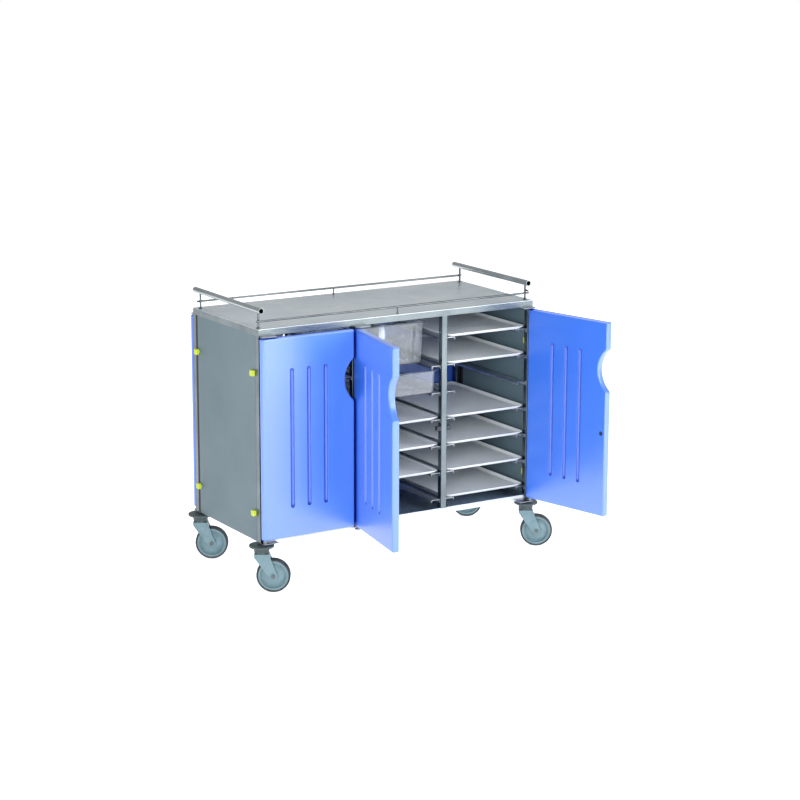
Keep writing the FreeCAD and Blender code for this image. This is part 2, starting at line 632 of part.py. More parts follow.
def stem():
    """The swivel pin, with a collar above the fork and a square plug that fits the upright."""
    pin = rod(STEM_RADIUS, Vector(0, 0, FORK_TOP - STEM_DEPTH), Vector(0, 0, CASTOR_SEAT + TUBE_WALL))
    half = POST_WIDTH / 2 - TUBE_WALL - STEM_PLUG_GAP
    plug = box(-half, half, -half, half, CASTOR_SEAT, CASTOR_SEAT + STEM_PLUG_LENGTH)
    plug = plug.makeChamfer(STEM_PLUG_CHAMFER, upright_edges(plug))
    low, high = FORK_TOP + SWIVEL_GAP, CASTOR_SEAT - BUMPER_THICKNESS
    collar = Part.makeCone(COLLAR_RADIUS, COLLAR_TOP_RADIUS, high - low, Vector(0, 0, low))
    return pin.fuse([plug, collar]).removeSplitter()


def tangent_point(point, centre, radius, side):
    """Where a line from the point touches the circle, in the XZ plane."""
    away = point - centre
    spread = math.acos(radius / away.Length)
    angle = math.atan2(away.z, away.x) + side * spread
    return centre + Vector(math.cos(angle), 0, math.sin(angle)) * radius


def fork():
    """A moulded fork: round crown, two legs that taper to the axle, and a slot for the wheel."""
    crown_bottom = FORK_TOP - FORK_CROWN_HEIGHT
    corners = [Vector(-FORK_CROWN_RADIUS, 0, crown_bottom), Vector(-FORK_CROWN_RADIUS, 0, FORK_TOP),
               Vector(FORK_CROWN_RADIUS, 0, FORK_TOP)]
    right = tangent_point(corners[2], AXLE, FORK_END_RADIUS, -1)
    left = tangent_point(corners[0], AXLE, FORK_END_RADIUS, 1)
    edges = [Part.makeLine(a, b) for a, b in zip(corners, corners[1:])]
    edges.append(Part.makeLine(corners[2], right))
    edges.append(Part.Arc(right, AXLE - Vector(0, 0, FORK_END_RADIUS), left).toShape())
    edges.append(Part.makeLine(left, corners[0]))
    width = Vector(0, 2 * FORK_HALF_WIDTH, 0)
    legs = moved(Part.Face(Part.Wire(edges)).extrude(width), 0, -FORK_HALF_WIDTH)
    reach = Vector(0, FORK_HALF_GAP, 0)
    slot = rod(WHEEL_RADIUS + FORK_WHEEL_GAP, AXLE - reach, AXLE + reach)
    rounded = [e for e in legs.Edges
               if e.BoundBox.YLength < TOLERANCE and e.BoundBox.ZMin < FORK_TOP - TOLERANCE]
    legs = legs.makeFillet(FORK_ROUNDING, rounded)
    crown = Part.makeCylinder(FORK_CROWN_RADIUS, FORK_CROWN_HEIGHT, Vector(0, 0, crown_bottom))
    bore = Part.makeCylinder(STEM_RADIUS + STEM_CLEARANCE, STEM_DEPTH + STEM_END_GAP,
                             Vector(0, 0, FORK_TOP - STEM_DEPTH - STEM_END_GAP))
    through = Vector(0, FORK_HALF_WIDTH, 0)
    eye = rod(AXLE_RADIUS + AXLE_SEAT_GAP, AXLE - through, AXLE + through)
    side = box(-BUMPER_RADIUS, 2 * BUMPER_RADIUS, FORK_HALF_WIDTH, BUMPER_RADIUS, 0, FORK_TOP)
    whole = legs.fuse(crown).cut([slot, bore, eye, side, side.mirror(Vector(0, 0, 0), Vector(0, 1, 0))])
    return whole.removeSplitter()


def axle():
    """The axle bolt, with a head outside each leg."""
    end = Vector(0, FORK_HALF_WIDTH + AXLE_HEAD_LENGTH, 0)
    bolt = rod(AXLE_RADIUS, AXLE - end, AXLE + end)
    heads = []
    for way in (-1, 1):
        start = AXLE + Vector(0, way * FORK_HALF_WIDTH, 0)
        head = rod(AXLE_HEAD_RADIUS, start, start + Vector(0, way * AXLE_HEAD_LENGTH, 0))
        heads.append(head)
    return bolt.fuse(heads).removeSplitter()


def hub():
    """The wheel's moulded centre: boss, dished web and rim ring."""
    half_boss = FORK_HALF_GAP - HUB_SIDE_GAP
    rim = WHEEL_RADIUS - TYRE_THICKNESS
    ring = rim - RIM_RING
    half_web, half_ring = WEB_THICKNESS / 2, RIM_RING_WIDTH / 2
    bore = AXLE_RADIUS + AXLE_CLEARANCE
    upper = [(bore, half_boss), (HUB_RADIUS, half_boss), (HUB_RADIUS, DISH_TOP / 2),
             (DISH_RADIUS, DISH_TOP / 2), (ring - half_web, half_web), (ring, half_web),
             (ring, half_ring), (rim, half_ring)]
    profile = upper + [(radius, -along) for radius, along in reversed(upper)]
    return revolved(profile, AXLE, Vector(0, 1, 0))


def tyre():
    """The tread on the rim ring."""
    half = TREAD_WIDTH / 2
    inner = WHEEL_RADIUS - TYRE_THICKNESS
    reach = Vector(0, half, 0)
    band = rod(WHEEL_RADIUS, AXLE - reach, AXLE + reach)
    band = band.makeFillet(TREAD_ROUNDING, [e for e in band.Edges if len(e.Vertexes) == 1])
    return band.cut(rod(inner, AXLE - reach, AXLE + reach))


def placed_castor(shape, place, trailing=True):
    """A castor part under its upright, turned the way the castor trails."""
    return moved(turned(shape, TRAIL_ANGLE) if trailing else shape, *place)


# Trays and bins

def open_box(width, depth, height, wall, flare, corner, lip=0.0):
    """A box open at the top, wider at the top than at the bottom, with an outward lip."""
    top_width, top_depth = width - 2 * lip, depth - 2 * lip
    outer = Part.makeLoft([
        rounded_rectangle(top_width - 2 * flare, top_depth - 2 * flare, corner),
        rounded_rectangle(top_width, top_depth, corner, height)], True, True)
    inner = Part.makeLoft([
        rounded_rectangle(top_width - 2 * (flare + wall), top_depth - 2 * (flare + wall),
                          corner - wall, wall),
        rounded_rectangle(top_width - 2 * wall, top_depth - 2 * wall, corner - wall, height)], True, True)
    if lip:
        plate = Part.Face(rounded_rectangle(width, depth, corner + lip, height - wall))
        outer = outer.fuse(plate.extrude(Vector(0, 0, wall)))
    return outer.cut(inner)


def tray(bay_centre, level):
    """A meal tray on its two ledges."""
    shape = open_box(TRAY_WIDTH, TRAY_DEPTH, TRAY_HEIGHT, TRAY_WALL, TRAY_FLARE, TRAY_CORNER)
    return moved(shape, bay_centre, 0, ledge_height(level) + LOAD_GAP)


def shallow_bin():
    """The low bin, as long and as wide as a tray."""
    _, level = MIDDLE_BIN_LEVELS
    height = LEVEL_PITCH - LEDGE_LIP - BIN_BELOW_LIP_GAP
    shape = open_box(TRAY_WIDTH, TRAY_DEPTH, height, BIN_WALL, BIN_FLARE, BIN_CORNER, BIN_LIP)
    return moved(shape, BAY_CENTRES[1], 0, ledge_height(level) + LOAD_GAP)


def deep_bin():
    """The tall bin, which stands up to the underside of the rim."""
    level, _ = MIDDLE_BIN_LEVELS
    seat = ledge_height(level) + LOAD_GAP
    height = RIM_UNDERSIDE - DEEP_BIN_HEADROOM - seat
    width = TRAY_WIDTH - 2 * DEEP_BIN_SIDE_INSET
    depth = BODY_DEPTH - DEEP_BIN_FRONT_INSET - DEEP_BIN_REAR_INSET
    shape = open_box(width, depth, height, BIN_WALL, BIN_FLARE, BIN_CORNER, BIN_LIP)
    return moved(shape, BAY_CENTRES[1], (DEEP_BIN_FRONT_INSET - DEEP_BIN_REAR_INSET) / 2, seat)


def build():
    """Write every sub-part."""
    os.makedirs("parts", exist_ok=True)
    save("top_rim", top_rim())
    save("worktop", worktop())
    save("corner_posts", *uprights((POST_LINES[0], POST_LINES[-1]), CASTOR_SEAT))
    save("middle_posts", *uprights(POST_LINES[1:-1], BASE_TOP))
    save("base_frame", *base_frame())
    save("base_panel", base_panel())
    for name, side in (("left", -1), ("right", 1)):
        save("%s_side_panel" % name, side_panel(side))
        save("%s_handle" % name, handle(side))
    save("side_seals", side_seal(-1), side_seal(1))
    save("panel_clips", *panel_clips(-1), *panel_clips(1))
    for name, centre in zip(BAY_NAMES, BAY_CENTRES):
        first = min(MIDDLE_BIN_LEVELS) if name == "middle" else 1
        save("%s_bay_runners" % name, *bay_runners(centre, range(first, LEVELS + 1)))

    doors = (("left", -END_PIVOT_X, LEFT_DOOR_REACH, False, 0.0),
             ("middle", MIDDLE_PIVOT_X, MIDDLE_DOOR_REACH, False, MIDDLE_DOOR_OPEN),
             ("right", END_PIVOT_X, RIGHT_DOOR_REACH, True, RIGHT_DOOR_OPEN))
    turned_names = {"left": "right", "middle": "middle", "right": "left"}
    for name, pivot_x, reach, mirrored, opened in doors:
        door("front_" + name, pivot_x, reach, mirrored, False, opened)
        door("rear_" + turned_names[name], pivot_x, reach, mirrored, True, 0.0)
    pivots, catches = front_pivots(), front_catches()
    save("pivot_plates", *pivots, *[turned(shape, 180) for shape in pivots])
    save("door_catches", *catches, *[turned(shape, 180) for shape in catches])

    save("gallery_rails", *gallery_rails())
    save("gallery_posts", *gallery_posts())

    save("castor_bumpers", *[placed_castor(bumper(), place, False) for place in CASTORS.values()])
    save("castor_stems", *[placed_castor(stem(), place, False) for place in CASTORS.values()])
    for name, place in CASTORS.items():
        for part_name, part in (("fork", fork), ("axle", axle), ("hub", hub), ("tyre", tyre)):
            save("%s_%s" % (name, part_name), placed_castor(part(), place))

    for name, centre, levels in (("middle", BAY_CENTRES[1], MIDDLE_TRAY_LEVELS),
                                 ("right", BAY_CENTRES[2], RIGHT_TRAY_LEVELS)):
        for level in levels:
            save("%s_tray_%d" % (name, level), tray(centre, level))
    save("shallow_bin", shallow_bin())
    save("deep_bin", deep_bin())


build()
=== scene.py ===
import json
import math

import bmesh
import bpy
from mathutils import Matrix, Vector


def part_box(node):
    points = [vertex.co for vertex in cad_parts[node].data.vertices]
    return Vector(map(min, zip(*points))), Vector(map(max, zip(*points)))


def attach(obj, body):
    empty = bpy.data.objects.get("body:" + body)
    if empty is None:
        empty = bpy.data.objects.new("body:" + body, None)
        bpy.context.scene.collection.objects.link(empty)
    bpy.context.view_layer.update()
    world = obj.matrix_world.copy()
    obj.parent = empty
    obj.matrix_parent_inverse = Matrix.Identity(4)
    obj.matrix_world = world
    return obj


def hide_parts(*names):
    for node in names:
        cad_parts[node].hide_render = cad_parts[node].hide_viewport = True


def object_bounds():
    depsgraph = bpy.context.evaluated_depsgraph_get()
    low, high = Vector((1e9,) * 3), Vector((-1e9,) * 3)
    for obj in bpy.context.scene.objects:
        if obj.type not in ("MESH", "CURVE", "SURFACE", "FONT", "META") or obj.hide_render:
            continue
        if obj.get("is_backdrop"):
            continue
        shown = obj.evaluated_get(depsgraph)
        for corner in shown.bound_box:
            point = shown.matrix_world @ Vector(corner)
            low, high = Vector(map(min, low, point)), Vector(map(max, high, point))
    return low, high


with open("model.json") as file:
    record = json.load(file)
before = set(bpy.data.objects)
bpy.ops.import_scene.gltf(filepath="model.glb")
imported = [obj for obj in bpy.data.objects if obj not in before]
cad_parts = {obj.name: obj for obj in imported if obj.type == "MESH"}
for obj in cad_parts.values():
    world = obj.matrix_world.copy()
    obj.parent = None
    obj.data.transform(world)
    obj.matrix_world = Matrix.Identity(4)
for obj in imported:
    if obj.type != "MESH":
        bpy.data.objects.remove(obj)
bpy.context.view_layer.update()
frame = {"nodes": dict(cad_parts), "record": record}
nodes = frame["nodes"]
body_of = {name: body for body, names in frame["record"]["behaviour"]["bodies"].items() for name in names}


# Camera: a long lens, 2.6 m above the floor and 8.7 m off, left of the front and looking
# slightly down, so that the left end, the long front and the worktop all show.
yaw, pitch, roll = math.radians(31.5815), math.radians(12.7307), math.radians(0.18968)
stand = (-4.4203, -7.4574, 2.5830)
lens = bpy.data.cameras.new("camera")
lens.lens, lens.sensor_width = 100.70, 36.0
camera = bpy.data.objects.new("camera", lens)
bpy.context.scene.collection.objects.link(camera)
camera.matrix_world = (Matrix.Translation(stand) @ Matrix.Rotation(-yaw, 4, "Z")
                       @ Matrix.Rotation(math.pi / 2 - pitch, 4, "X") @ Matrix.Rotation(roll, 4, "Z"))
bpy.context.scene.camera = camera


# Studio: a pale seamless floor, white surroundings and five soft lamps. Steel and gloss mirror
# only two of the lamps, which keeps the rim and the handles from turning white.
def node(tree, kind, inputs=None, **settings):
    """One node of a tree; an input is given as a value or as the socket that feeds it."""
    made = tree.nodes.new(kind)
    for name, value in settings.items():
        setattr(made, name, value)
    for key, value in (inputs or {}).items():
        if isinstance(value, bpy.types.NodeSocket):
            tree.links.new(value, made.inputs[key])
        else:
            made.inputs[key].default_value = value
    return made


def new_material(name, **sockets):
    """A material and its node tree; the shader's constant settings are given by socket name."""
    material = bpy.data.materials.new(name)
    material.use_nodes = True
    shader = material.node_tree.nodes["Principled BSDF"]
    for key, value in sockets.items():
        shader.inputs[key.replace("_", " ")].default_value = value
    return material, material.node_tree, shader


def lamp(name, place, target, size, power, mirrored=True):
    """A rectangular soft lamp that points at a target; steel and gloss may mirror it or not."""
    light = bpy.data.lights.new(name, "AREA")
    light.shape, light.size, light.size_y, light.energy = "RECTANGLE", *size, power
    holder = bpy.data.objects.new(name, light)
    bpy.context.scene.collection.objects.link(holder)
    aim = (Vector(target) - Vector(place)).to_track_quat("-Z", "Y")
    holder.matrix_world = Matrix.Translation(place) @ aim.to_matrix().to_4x4()
    holder.visible_camera = False
    holder.visible_glossy = mirrored


white = (1.0, 1.0, 1.0, 1.0)
strength_seen, strength_of_light = 1.0, 0.55
world = bpy.data.worlds.new("studio")
world.use_nodes = True
sky = world.node_tree
seen = node(sky, "ShaderNodeLightPath").outputs["Is Camera Ray"]
strength = node(sky, "ShaderNodeMapRange",
                {"Value": seen, "To Min": strength_of_light, "To Max": strength_seen}).outputs["Result"]
sky.links.new(strength, sky.nodes["Background"].inputs["Strength"])
sky.nodes["Background"].inputs["Color"].default_value = white
bpy.context.scene.world = world
bpy.context.scene.view_settings.view_transform = "Standard"
lamp("right_lamp", (2.3, -4.4, 1.9), (-0.3, 0.0, 0.7), (4.0, 3.0), 150.0)
lamp("high_lamp", (3.6, -3.6, 3.4), (-0.3, 0.0, 0.7), (1.6, 1.6), 110.0, mirrored=False)
lamp("front_lamp", (-3.6, -4.6, 1.5), (0.4, -0.1, 0.55), (3.0, 2.4), 340.0, mirrored=False)
lamp("back_lamp", (2.6, 5.0, 2.2), (0.0, 0.0, 0.9), (8.0, 4.0), 150.0, mirrored=False)
lamp("top_lamp", (0.0, 1.0, 4.5), (0.0, 0.0, 0.9), (4.0, 3.0), 80.0)

floor_reach = 20.0
floor_corners = [(x * floor_reach, y * floor_reach, 0.0) for x, y in ((-1, -1), (1, -1), (1, 1), (-1, 1))]
floor_mesh = bpy.data.meshes.new("studio_floor")
floor_mesh.from_pydata(floor_corners, [], [(0, 1, 2, 3)])
studio_floor = bpy.data.objects.new("studio_floor", floor_mesh)
bpy.context.scene.collection.objects.link(studio_floor)
paper = new_material("studio_paper", Base_Color=(0.86, 0.87, 0.88, 1.0), Roughness=0.9,
                     Emission_Color=white, Emission_Strength=0.60)[0]
floor_mesh.materials.append(paper)
studio_floor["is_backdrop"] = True


# Base frame: rectangular stainless tubes, welded into a ladder that carries everything.
# The brushing runs along each tube, and hands and cloths have left faint darker patches.
def grain(tree, density, detail, roughness=0.55):
    """Noise on the piece's own coordinates; the density is one number or one along each axis."""
    stretch = density if isinstance(density, tuple) else (density, density, density)
    place = node(tree, "ShaderNodeTexCoord").outputs["Object"]
    drawn = node(tree, "ShaderNodeMapping", {"Vector": place, "Scale": stretch}).outputs["Vector"]
    made = node(tree, "ShaderNodeTexNoise",
                {"Vector": drawn, "Scale": 1.0, "Detail": detail, "Roughness": roughness})
    return made.outputs["Fac"]


def ranged(tree, value, low, high, start=0.3, end=0.7):
    """A value moved from the noise's range into the one wanted."""
    made = node(tree, "ShaderNodeMapRange", {"Value": value, "From Min": start, "From Max": end,
                                             "To Min": low, "To Max": high})
    return made.outputs["Result"]


def tinted(tree, value, dark, light, start=0.3, end=0.7):
    """A colour between two, by a value."""
    made = node(tree, "ShaderNodeValToRGB", {"Fac": value})
    for stop, place, colour in zip(made.color_ramp.elements, (start, end), (dark, light)):
        stop.position, stop.color = place, (*colour, 1.0)
    return made.outputs["Color"]


def relief(tree, value, height):
    """A bump of the given height in metres."""
    return node(tree, "ShaderNodeBump", {"Height": value, "Distance": height}).outputs["Normal"]


def feed(tree, shader, colour, roughness, normal):
    """Connect what varies over the surface to the shader."""
    for key, socket in (("Base Color", colour), ("Roughness", roughness), ("Normal", normal)):
        tree.links.new(socket, shader.inputs[key])


def brushed_steel(name, density, dark, light, sheen):
    """Stainless steel with fine brush lines, cloudy wear and a slightly uneven sheen."""
    brush_detail, brush_contrast, brush_depth = 4.0, 0.7, 0.00004
    cloud_density, cloud_detail, cloud_range, cloud_dulling = 6.0, 3.0, (0.32, 0.62), (0.05, -0.03)
    material, tree, shader = new_material(name, Metallic=1.0)
    lines = grain(tree, density, brush_detail, brush_contrast)
    clouds = grain(tree, cloud_density, cloud_detail)
    roughness = node(tree, "ShaderNodeMath", {0: ranged(tree, lines, *sheen),
                                              1: ranged(tree, clouds, *cloud_dulling)}, operation="ADD")
    feed(tree, shader, tinted(tree, clouds, dark, light, *cloud_range), roughness.outputs[0],
         relief(tree, lines, brush_depth))
    return material


def wear(material, *names):
    """Give a material to the CAD nodes of these names."""
    for name in names:
        nodes[name].data.materials.clear()
        nodes[name].data.materials.append(material)


rail_steel = brushed_steel("rail_steel", (9.0, 300.0, 300.0), dark=(0.46, 0.49, 0.51),
                           light=(0.58, 0.61, 0.63), sheen=(0.22, 0.36))
wear(rail_steel, "base_frame")


# Floor sheet: one stainless sheet that closes the bays below, laid on the base frame and
# notched round the uprights. Its steel colour is tinted slate blue, a painted reflection of the doors and
# the dark bays, on top of what it really mirrors.
# The blue tint in these colours is a painted reflection of the blue doors.
sheet_steel = brushed_steel("sheet_steel", (6.0, 220.0, 220.0), dark=(0.52, 0.64, 0.76),
                            light=(0.62, 0.74, 0.86), sheen=(0.26, 0.40))
wear(sheet_steel, "base_panel")


# Uprights: square stainless tubes, two to each wall between the bays and one at each corner.
# The corner ones go down past the base frame and take the castors' stems.
# Their steel colour is a dark copy of the stainless, painted shade that stands in for the dark the uprights
# mirror.
upright_steel = brushed_steel("upright_steel", (300.0, 300.0, 9.0), dark=(0.13, 0.16, 0.175),
                              light=(0.19, 0.225, 0.24), sheen=(0.2, 0.34))
wear(upright_steel, "corner_posts", "middle_posts")


# Rim and worktop: a channel folded all round, and the flat sheet that is welded on it.
# The rim's steel colour is darker than the worktop's, painted shade for its upright faces, and its brush
# lines are finer.
# Painted shade: the rim's colours are a darker copy of the same stainless as the worktop.
rim_steel = brushed_steel("rim_steel", (8.0, 260.0, 260.0), dark=(0.15, 0.18, 0.195),
                          light=(0.21, 0.245, 0.26), sheen=(0.18, 0.30))
top_steel = brushed_steel("top_steel", (5.0, 160.0, 160.0), dark=(0.54, 0.61, 0.66),
                          light=(0.66, 0.72, 0.76), sheen=(0.26, 0.42))
wear(rim_steel, "top_rim")
wear(top_steel, "worktop")


# End walls: flat grey laminate between the corner uprights, with a black rubber strip at
# the rear edge and four plastic clips that snap through each wall.
def mottled(name, density, detail, dark, light, roughness, height, pores=None, **sockets):
    """A material with one noise in its colour, roughness and relief; pores set a finer relief."""
    pore_detail = 2.0
    material, tree, shader = new_material(name, **sockets)
    clouds = grain(tree, density, detail)
    bumps = clouds if pores is None else grain(tree, pores, pore_detail)
    feed(tree, shader, tinted(tree, clouds, dark, light), ranged(tree, clouds, *roughness),
         relief(tree, bumps, height))
    return material


panel_finish = mottled("panel_finish", 3.0, detail=4.0, dark=(0.076, 0.116, 0.136),
                       light=(0.088, 0.132, 0.155), roughness=(0.50, 0.38), height=0.00006,
                       pores=260.0, Specular_IOR_Level=0.4)
wear(panel_finish, "left_side_panel", "right_side_panel")

seal_rubber = mottled("seal_rubber", (40.0, 40.0, 12.0), detail=5.0, dark=(0.012, 0.012, 0.013),
                      light=(0.035, 0.035, 0.036), roughness=(0.62, 0.8), height=0.0002,
                      Specular_IOR_Level=0.3)
wear(seal_rubber, "side_seals")

clip_plastic = mottled("clip_plastic", 90.0, detail=3.0, dark=(0.36, 0.44, 0.025),
                       light=(0.44, 0.52, 0.05), roughness=(0.34, 0.46), height=0.0001)
wear(clip_plastic, "panel_clips")


# Tray runners: strips of stainless sheet folded into a ledge with a lip at its inner edge and a
# web down the upright, and spot welded there. Each bay has a pair at every level, evenly spaced.
def closed_line(name, points):
    """A mesh of edges round a flat outline."""
    mesh = bpy.data.meshes.new(name)
    count = len(points)
    mesh.from_pydata([(x, y, 0.0) for x, y in points], [(n, (n + 1) % count) for n in range(count)], [])
    return mesh


def folded_runners():
    """A tree that draws a section out to a length and repeats it up both sides of a bay."""
    bend_steps, weld_distance = 3, 0.00001
    tree = bpy.data.node_groups.new("folded_runners", "GeometryNodeTree")
    face = tree.interface
    face.new_socket("Section", in_out="INPUT", socket_type="NodeSocketGeometry")
    for title, kind in (("Length", "Float"), ("Bend radius", "Float"), ("Pitch", "Float"),
                        ("Levels", "Int"), ("Steel", "Material")):
        face.new_socket(title, in_out="INPUT", socket_type="NodeSocket" + kind)
    face.new_socket("Runners", in_out="OUTPUT", socket_type="NodeSocketGeometry")
    given = tree.nodes.new("NodeGroupInput").outputs

    outline = node(tree, "GeometryNodeMeshToCurve", {"Mesh": given["Section"]}).outputs["Curve"]
    bent = node(tree, "GeometryNodeFilletCurve",
                {"Curve": outline, "Radius": given["Bend radius"], "Count": bend_steps,
                 "Limit Radius": True}, mode="POLY").outputs["Curve"]
    end = node(tree, "GeometryNodeFillCurve", {"Curve": bent}, mode="NGONS").outputs["Mesh"]
    reach = node(tree, "ShaderNodeCombineXYZ", {"Z": given["Length"]}).outputs["Vector"]
    drawn = node(tree, "GeometryNodeExtrudeMesh", {"Mesh": end, "Offset": reach},
                 mode="FACES").outputs["Mesh"]
    back = node(tree, "GeometryNodeFlipFaces", {"Mesh": end}).outputs["Mesh"]
    strip = tree.nodes.new("GeometryNodeJoinGeometry")
    for part in (drawn, back):
        tree.links.new(part, strip.inputs["Geometry"])
    sealed = node(tree, "GeometryNodeMergeByDistance",
                  {"Geometry": strip.outputs["Geometry"], "Distance": weld_distance}).outputs["Geometry"]

    half = node(tree, "ShaderNodeMath", {0: given["Length"], 1: 0.5}, operation="MULTIPLY").outputs[0]
    shift = node(tree, "ShaderNodeCombineXYZ", {"Y": half}).outputs["Vector"]
    laid = node(tree, "GeometryNodeTransform", {"Geometry": sealed, "Translation": shift,
                                                "Rotation": (math.pi / 2, 0.0, 0.0)}).outputs["Geometry"]
    rise = node(tree, "ShaderNodeCombineXYZ", {"Z": given["Pitch"]}).outputs["Vector"]
    levels = node(tree, "GeometryNodeMeshLine", {"Count": given["Levels"], "Offset": rise}).outputs["Mesh"]
    both = tree.nodes.new("GeometryNodeJoinGeometry")
    for turn in (0.0, math.pi):
        side = node(tree, "GeometryNodeInstanceOnPoints",
                    {"Points": levels, "Instance": laid, "Rotation": (0.0, 0.0, turn)}).outputs["Instances"]
        tree.links.new(side, both.inputs["Geometry"])
    real = node(tree, "GeometryNodeRealizeInstances",
                {"Geometry": both.outputs["Geometry"]}).outputs["Geometry"]
    clad = node(tree, "GeometryNodeSetMaterial",
                {"Geometry": real, "Material": given["Steel"]}).outputs["Geometry"]
    tree.links.new(clad, tree.nodes.new("NodeGroupOutput").inputs["Runners"])
    return tree


def grown(name, mesh, tree, **values):
    """The plain mesh that a tree makes of another one; its inputs are given by their names."""
    seed = bpy.data.objects.new(name + "_seed", mesh)
    bpy.context.scene.collection.objects.link(seed)
    modifier = seed.modifiers.new(name, "NODES")
    modifier.node_group = tree
    for socket in tree.interface.items_tree:
        if socket.name.replace(" ", "_") in values:
            modifier[socket.identifier] = values[socket.name.replace(" ", "_")]
    made = bpy.data.meshes.new_from_object(seed.evaluated_get(bpy.context.evaluated_depsgraph_get()))
    bpy.data.objects.remove(seed)
    made.name = name
    return made


def show(name, mesh, node_name):
    """Put a finished mesh in the scene in place of a CAD node, on that node's body."""
    sharpest_smooth_edge = math.radians(40.0)
    mesh.shade_smooth()
    mesh.set_sharp_from_angle(angle=sharpest_smooth_edge)
    piece = bpy.data.objects.new(name, mesh)
    bpy.context.scene.collection.objects.link(piece)
    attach(piece, body_of[node_name])
    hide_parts(node_name)


runner_steel = brushed_steel("runner_steel", (300.0, 7.0, 300.0), dark=(0.46, 0.49, 0.53),
                             light=(0.62, 0.64, 0.67), sheen=(0.22, 0.36))
sheet, bend_radius = 0.0015, 0.0007
ledge, lip, web = 0.040, 0.010, 0.014
level_pitch = 0.108
runner_tree = folded_runners()
for bay in ("left_bay", "middle_bay", "right_bay"):
    low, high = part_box(bay + "_runners")
    outer = (high[0] - low[0]) / 2
    inner = outer - ledge
    section = [(outer, 0.0), (inner, 0.0), (inner, -lip), (inner + sheet, -lip), (inner + sheet, -sheet),
               (outer - sheet, -sheet), (outer - sheet, -web), (outer, -web)]
    count = round((high[2] - low[2] - web) / level_pitch) + 1
    folded = grown("folded_" + bay, closed_line(bay + "_section", section), runner_tree,
                   Length=high[1] - low[1], Bend_radius=bend_radius, Levels=count, Steel=runner_steel,
                   Pitch=(high[2] - low[2] - web) / (count - 1))
    folded.transform(Matrix.Translation(((low[0] + high[0]) / 2, (low[1] + high[1]) / 2, low[2] + web)))
    show(bay + "_folded_runners", folded, bay + "_runners")


# Door pivots and catches: steel plates with turned pins, welded under the rim and the base
# frame, and dark magnetic catches on the uprights.
pivot_steel = mottled("pivot_steel", 120.0, detail=4.0, dark=(0.16, 0.18, 0.22),
                      light=(0.30, 0.32, 0.36), roughness=(0.3, 0.48), height=0.0001, Metallic=1.0)
wear(pivot_steel, "pivot_plates")

magnet_finish = mottled("magnet_finish", 160.0, detail=4.0, dark=(0.02, 0.022, 0.028),
                        light=(0.07, 0.075, 0.085), roughness=(0.35, 0.55), height=0.0001, Metallic=0.6)
wear(magnet_finish, "door_catches", *[name for name in nodes if name.endswith("_strike")])


# Doors: blow-moulded blue plastic leaves with upright grooves, a hand cut-out and soft edges.
# Where ambient occlusion finds a groove, the colour turns to a painted shade of deep blue, and painted shade
# also takes most of the gloss away.
door_plastic, tree, shader = new_material("door_plastic", IOR=1.5, Coat_IOR=2.2, Coat_Roughness=0.3)
groove_painted_shade = (0.001, 0.010, 0.26, 1.0)
groove_reach, deep_in, in_the_open = 0.012, 0.70, 0.99
groove_shaded_gloss, open_gloss = 0.1, 1.0
leather = grain(tree, 420.0, detail=2.0)
clouds = grain(tree, 2.5, detail=4.0)
# Painted shade: the occlusion below darkens the blue and thins the coat inside the grooves.
openness = node(tree, "ShaderNodeAmbientOcclusion", {"Distance": groove_reach}, samples=8).outputs["AO"]
depth = ranged(tree, openness, 1.0, 0.0, deep_in, in_the_open)
open_blue = tinted(tree, clouds, dark=(0.018, 0.118, 0.58), light=(0.023, 0.130, 0.62))
share_input, first_colour, second_colour, mixed_colour = 0, 6, 7, 2
blue = node(tree, "ShaderNodeMix", {share_input: depth, first_colour: open_blue, second_colour: groove_painted_shade},
            data_type="RGBA").outputs[mixed_colour]
feed(tree, shader, blue, ranged(tree, clouds, 0.46, 0.38), relief(tree, leather, 0.00005))
gloss = ranged(tree, openness, groove_shaded_gloss, open_gloss, deep_in, in_the_open)
tree.links.new(gloss, shader.inputs["Coat Weight"])
wear(door_plastic, *[name for name in nodes if name.endswith("_door")])


# Handles and gallery: round stainless tube at both ends and thin rod along the front and the
# rear, on rods that are welded to round feet.
tube_steel = brushed_steel("tube_steel", (300.0, 9.0, 300.0), dark=(0.30, 0.34, 0.36),
                           light=(0.42, 0.46, 0.48), sheen=(0.14, 0.26))
# The rods' steel colour is a much darker copy of the tube's, painted shade standing in for dark surroundings
# that they mirror.
rod_steel = brushed_steel("rod_steel", (9.0, 300.0, 300.0), dark=(0.10, 0.12, 0.13),
                          light=(0.18, 0.20, 0.21), sheen=(0.14, 0.26))
wear(tube_steel, "left_handle", "right_handle")
wear(rod_steel, "gallery_rails", "gallery_posts")


# Castor stems and bumpers: a dark collar over each fork, and a round rubber plate above it
# that keeps the cart off the walls.
collar_finish = mottled("collar_finish", 60.0, detail=4.0, dark=(0.020, 0.032, 0.035),
                        light=(0.040, 0.056, 0.060), roughness=(0.4, 0.55), height=0.0001)
wear(collar_finish, "castor_stems")

bumper_rubber = mottled("bumper_rubber", 45.0, detail=5.0, dark=(0.028, 0.042, 0.045),
                        light=(0.050, 0.068, 0.072), roughness=(0.42, 0.6), height=0.00015)
wear(bumper_rubber, "castor_bumpers")


